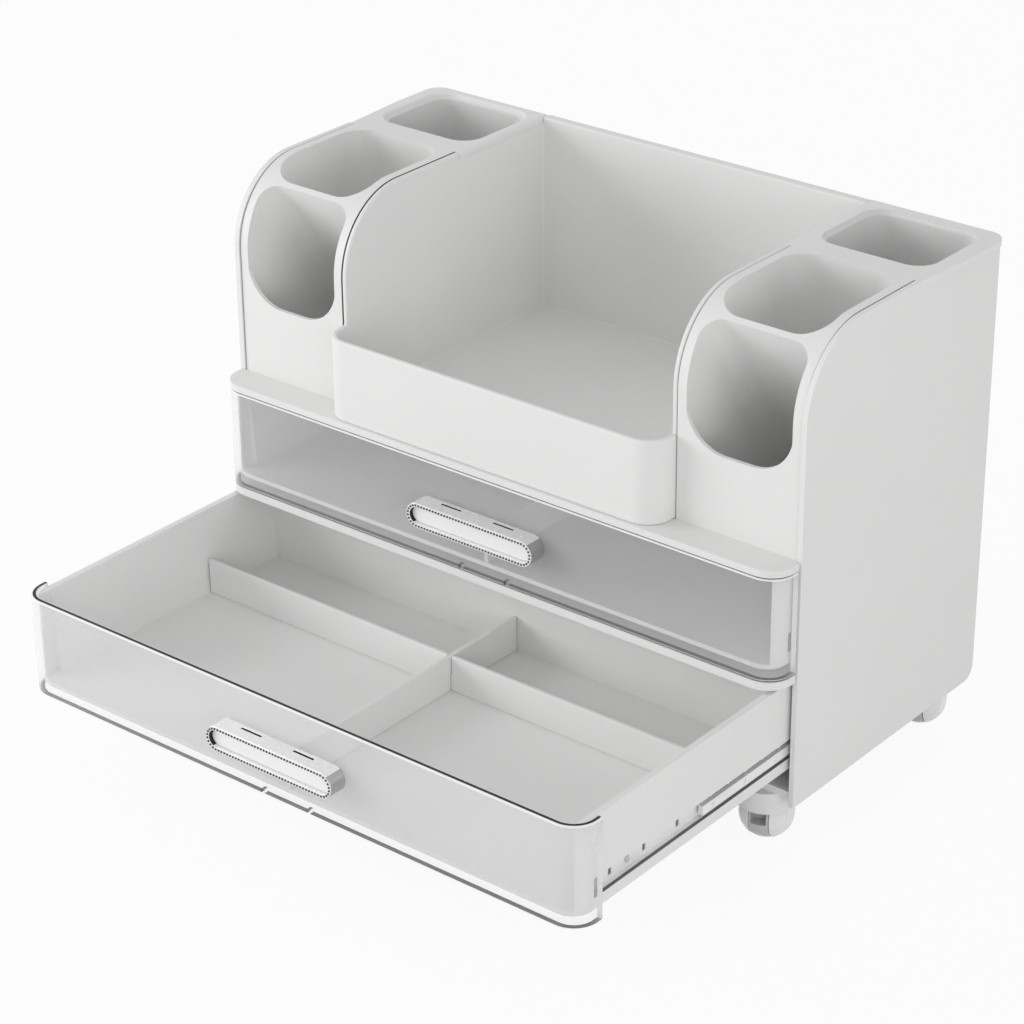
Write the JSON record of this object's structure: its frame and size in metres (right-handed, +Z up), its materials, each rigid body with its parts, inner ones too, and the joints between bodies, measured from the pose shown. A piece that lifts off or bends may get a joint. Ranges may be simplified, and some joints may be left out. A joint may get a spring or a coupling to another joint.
{
  "type": "makeup organizer",
  "caption": "White tabletop makeup organizer with clear-fronted drawers on ball slides, an open centre tray, brush wells in curved side towers and ball casters.",
  "frame": {"origin": "on the floor, at the centre of the footprint with the lower drawer drawn out", "axes": "+Z up, +Y towards the back of the cabinet, +X to the right as seen from the front"},
  "size_m": [0.37, 0.3502, 0.2785],
  "materials": {
    "white_plastic": "satin",
    "clear_acrylic": "gloss",
    "handle_chrome": "polished",
    "handle_face": "gloss",
    "crystal": "faceted",
    "rail_steel": "zinc plated",
    "ball_steel": "polished",
    "screw_steel": "plated",
    "caster_white": "gloss",
    "caster_grey": "satin"
  },
  "bodies": {
    "cabinet": {"left_side_panel": "white_plastic", "right_side_panel": "white_plastic", "back_panel": "white_plastic", "base_panel": "white_plastic", "middle_shelf": "white_plastic", "top_shelf": "white_plastic", "centre_tray": "white_plastic", "left_brush_tower": "white_plastic", "right_brush_tower": "white_plastic", "back_screws": "screw_steel", "upper_left_cabinet_rail": "rail_steel", "upper_right_cabinet_rail": "rail_steel", "lower_left_cabinet_rail": "rail_steel", "lower_right_cabinet_rail": "rail_steel", "cabinet_rail_screws": "screw_steel", "front_left_caster_cup": "white_plastic", "front_right_caster_cup": "white_plastic", "rear_left_caster_cup": "white_plastic", "rear_right_caster_cup": "white_plastic"},
    "upper_drawer": {"upper_drawer_box": "white_plastic", "upper_clear_front": "clear_acrylic", "upper_cross_divider": "white_plastic", "upper_long_divider": "white_plastic", "upper_handle_frame": "handle_chrome", "upper_handle_plate": "handle_face", "upper_handle_stones": "crystal", "upper_handle_screws": "screw_steel", "upper_left_drawer_rail": "rail_steel", "upper_right_drawer_rail": "rail_steel", "upper_drawer_rail_screws": "screw_steel"},
    "upper_middle_rails": {"upper_left_middle_rail": "rail_steel", "upper_right_middle_rail": "rail_steel"},
    "upper_cabinet_ball_rows": {"upper_cabinet_balls": "ball_steel"},
    "upper_drawer_ball_rows": {"upper_drawer_balls": "ball_steel"},
    "lower_drawer": {"lower_drawer_box": "white_plastic", "lower_clear_front": "clear_acrylic", "lower_cross_divider": "white_plastic", "lower_long_divider": "white_plastic", "lower_handle_frame": "handle_chrome", "lower_handle_plate": "handle_face", "lower_handle_stones": "crystal", "lower_handle_screws": "screw_steel", "lower_left_drawer_rail": "rail_steel", "lower_right_drawer_rail": "rail_steel", "lower_drawer_rail_screws": "screw_steel"},
    "lower_middle_rails": {"lower_left_middle_rail": "rail_steel", "lower_right_middle_rail": "rail_steel"},
    "lower_cabinet_ball_rows": {"lower_cabinet_balls": "ball_steel"},
    "lower_drawer_ball_rows": {"lower_drawer_balls": "ball_steel"},
    "front_left_swivel": {"front_left_caster_fork": "caster_grey"},
    "front_left_wheels": {"front_left_caster_wheels": "caster_white"},
    "front_right_swivel": {"front_right_caster_fork": "caster_grey"},
    "front_right_wheels": {"front_right_caster_wheels": "caster_white"},
    "rear_left_swivel": {"rear_left_caster_fork": "caster_grey"},
    "rear_left_wheels": {"rear_left_caster_wheels": "caster_white"},
    "rear_right_swivel": {"rear_right_caster_fork": "caster_grey"},
    "rear_right_wheels": {"rear_right_caster_wheels": "caster_white"}
  },
  "joints": [
    {"name": "upper_drawer_slide", "type": "slide", "parent": "cabinet", "child": "upper_drawer", "axis": [0, -1, 0], "range_m": [0, 0.156]},
    {"name": "upper_middle_rails_slide", "type": "slide", "parent": "cabinet", "child": "upper_middle_rails", "axis": [0, -1, 0], "range_m": [0, 0.078]},
    {"name": "upper_cabinet_ball_rows_slide", "type": "slide", "parent": "cabinet", "child": "upper_cabinet_ball_rows", "axis": [0, -1, 0], "range_m": [0, 0.039]},
    {"name": "upper_drawer_ball_rows_slide", "type": "slide", "parent": "cabinet", "child": "upper_drawer_ball_rows", "axis": [0, -1, 0], "range_m": [0, 0.117]},
    {"name": "lower_drawer_slide", "type": "slide", "parent": "cabinet", "child": "lower_drawer", "axis": [0, -1, 0], "range_m": [-0.151, 0.005]},
    {"name": "lower_middle_rails_slide", "type": "slide", "parent": "cabinet", "child": "lower_middle_rails", "axis": [0, -1, 0], "range_m": [-0.0755, 0.0025]},
    {"name": "lower_cabinet_ball_rows_slide", "type": "slide", "parent": "cabinet", "child": "lower_cabinet_ball_rows", "axis": [0, -1, 0], "range_m": [-0.03775, 0.00125]},
    {"name": "lower_drawer_ball_rows_slide", "type": "slide", "parent": "cabinet", "child": "lower_drawer_ball_rows", "axis": [0, -1, 0], "range_m": [-0.11325, 0.00375]},
    {"name": "front_left_swivel_turn", "type": "hinge", "parent": "cabinet", "child": "front_left_swivel", "pos_m": [-0.158, 0.0171, 0.0325], "axis": [0, 0, 1], "continuous": true},
    {"name": "front_left_wheel_spin", "type": "hinge", "parent": "front_left_swivel", "child": "front_left_wheels", "pos_m": [-0.15839, 0.01855, 0.0132], "axis": [0.9659, 0.2588, 0], "continuous": true},
    {"name": "front_right_swivel_turn", "type": "hinge", "parent": "cabinet", "child": "front_right_swivel", "pos_m": [0.158, 0.0171, 0.0325], "axis": [0, 0, 1], "continuous": true},
    {"name": "front_right_wheel_spin", "type": "hinge", "parent": "front_right_swivel", "child": "front_right_wheels", "pos_m": [0.15761, 0.01855, 0.0132], "axis": [0.9659, 0.2588, 0], "continuous": true},
    {"name": "rear_left_swivel_turn", "type": "hinge", "parent": "cabinet", "child": "rear_left_swivel", "pos_m": [-0.158, 0.1591, 0.0325], "axis": [0, 0, 1], "continuous": true},
    {"name": "rear_left_wheel_spin", "type": "hinge", "parent": "rear_left_swivel", "child": "rear_left_wheels", "pos_m": [-0.15839, 0.16055, 0.0132], "axis": [0.9659, 0.2588, 0], "continuous": true},
    {"name": "rear_right_swivel_turn", "type": "hinge", "parent": "cabinet", "child": "rear_right_swivel", "pos_m": [0.158, 0.1591, 0.0325], "axis": [0, 0, 1], "continuous": true},
    {"name": "rear_right_wheel_spin", "type": "hinge", "parent": "rear_right_swivel", "child": "rear_right_wheels", "pos_m": [0.15761, 0.16055, 0.0132], "axis": [0.9659, 0.2588, 0], "continuous": true}
  ],
  "couplings": [
    {"joint": "upper_middle_rails_slide", "follows": "upper_drawer_slide", "ratio": 0.5},
    {"joint": "upper_cabinet_ball_rows_slide", "follows": "upper_drawer_slide", "ratio": 0.25},
    {"joint": "upper_drawer_ball_rows_slide", "follows": "upper_drawer_slide", "ratio": 0.75},
    {"joint": "lower_middle_rails_slide", "follows": "lower_drawer_slide", "ratio": 0.5},
    {"joint": "lower_cabinet_ball_rows_slide", "follows": "lower_drawer_slide", "ratio": 0.25},
    {"joint": "lower_drawer_ball_rows_slide", "follows": "lower_drawer_slide", "ratio": 0.75}
  ]
}
